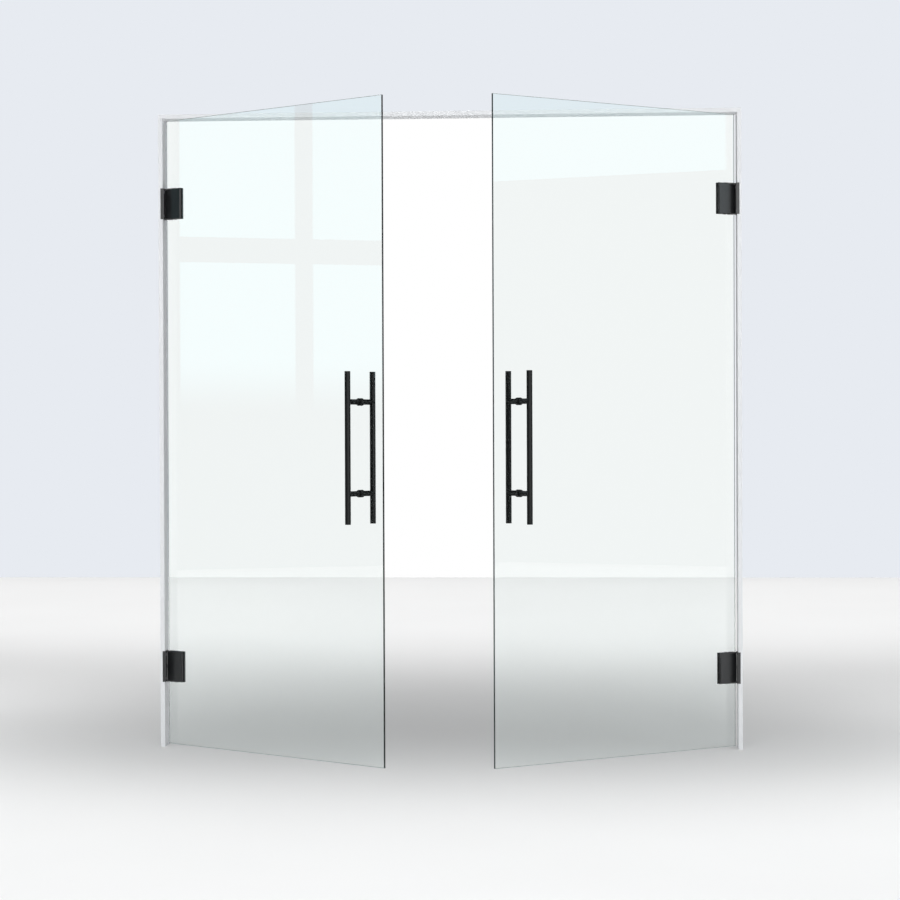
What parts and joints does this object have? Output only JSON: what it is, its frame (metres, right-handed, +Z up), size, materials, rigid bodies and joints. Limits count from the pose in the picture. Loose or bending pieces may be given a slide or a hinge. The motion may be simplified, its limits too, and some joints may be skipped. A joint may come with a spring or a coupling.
{
  "type": "glass entrance door",
  "caption": "Pair of frameless clear glass doors on black clamp hinges in a slim grey lining, with black back-to-back pull bars; the leaves swing both ways.",
  "frame": {"origin": "on the floor, midway between the jambs, in the plane of the closed leaves", "axes": "+Z up, +X across the doorway to the right seen from the front, +Y through the doorway away from the viewer"},
  "size_m": [2.03, 0.6205, 2.215],
  "materials": {
    "frame_paint": "satin pale grey coat on aluminium flat bar",
    "hinge_black": "satin black coated brass",
    "handle_black": "matt black coated stainless steel",
    "clear_glass": "clear toughened glass, ground and polished edges",
    "gasket_rubber": "matt black sheet",
    "bush_plastic": "black nylon",
    "spring_rubber": "amber cast elastomer",
    "screw_steel": "plain stainless steel"
  },
  "bodies": {
    "frame": {"left_jamb": "frame_paint", "right_jamb": "frame_paint", "header": "frame_paint", "corner_screws": "screw_steel", "left_upper_bracket": "hinge_black", "left_lower_bracket": "hinge_black", "right_upper_bracket": "hinge_black", "right_lower_bracket": "hinge_black", "bracket_screws": "screw_steel", "knuckle_bushes": "bush_plastic", "detent_plungers": "bush_plastic", "detent_springs": "spring_rubber", "spring_plugs": "screw_steel"},
    "left_leaf": {"left_glass": "clear_glass", "left_upper_pin": "screw_steel", "left_lower_pin": "screw_steel", "left_upper_front_clamp": "hinge_black", "left_upper_rear_clamp": "hinge_black", "left_lower_front_clamp": "hinge_black", "left_lower_rear_clamp": "hinge_black", "left_hinge_gaskets": "gasket_rubber", "left_clamp_screws": "screw_steel", "left_front_bar": "handle_black", "left_rear_bar": "handle_black", "left_bar_caps": "handle_black", "left_front_standoffs": "handle_black", "left_rear_standoffs": "handle_black", "left_collars": "handle_black", "left_washers": "bush_plastic", "left_sleeves": "bush_plastic", "left_studs": "screw_steel", "left_grub_screws": "screw_steel"},
    "right_leaf": {"right_glass": "clear_glass", "right_upper_pin": "screw_steel", "right_lower_pin": "screw_steel", "right_upper_front_clamp": "hinge_black", "right_upper_rear_clamp": "hinge_black", "right_lower_front_clamp": "hinge_black", "right_lower_rear_clamp": "hinge_black", "right_hinge_gaskets": "gasket_rubber", "right_clamp_screws": "screw_steel", "right_front_bar": "handle_black", "right_rear_bar": "handle_black", "right_bar_caps": "handle_black", "right_front_standoffs": "handle_black", "right_rear_standoffs": "handle_black", "right_collars": "handle_black", "right_washers": "bush_plastic", "right_sleeves": "bush_plastic", "right_studs": "screw_steel", "right_grub_screws": "screw_steel"}
  },
  "joints": [
    {"name": "left_leaf_swing", "type": "hinge", "parent": "frame", "child": "left_leaf", "pos_m": [-0.976, 0, 0], "axis": [0, 0, 1], "range_deg": [-55, 125]},
    {"name": "right_leaf_swing", "type": "hinge", "parent": "frame", "child": "right_leaf", "pos_m": [0.976, 0, 0], "axis": [0, 0, 1], "range_deg": [-125, 55]}
  ]
}
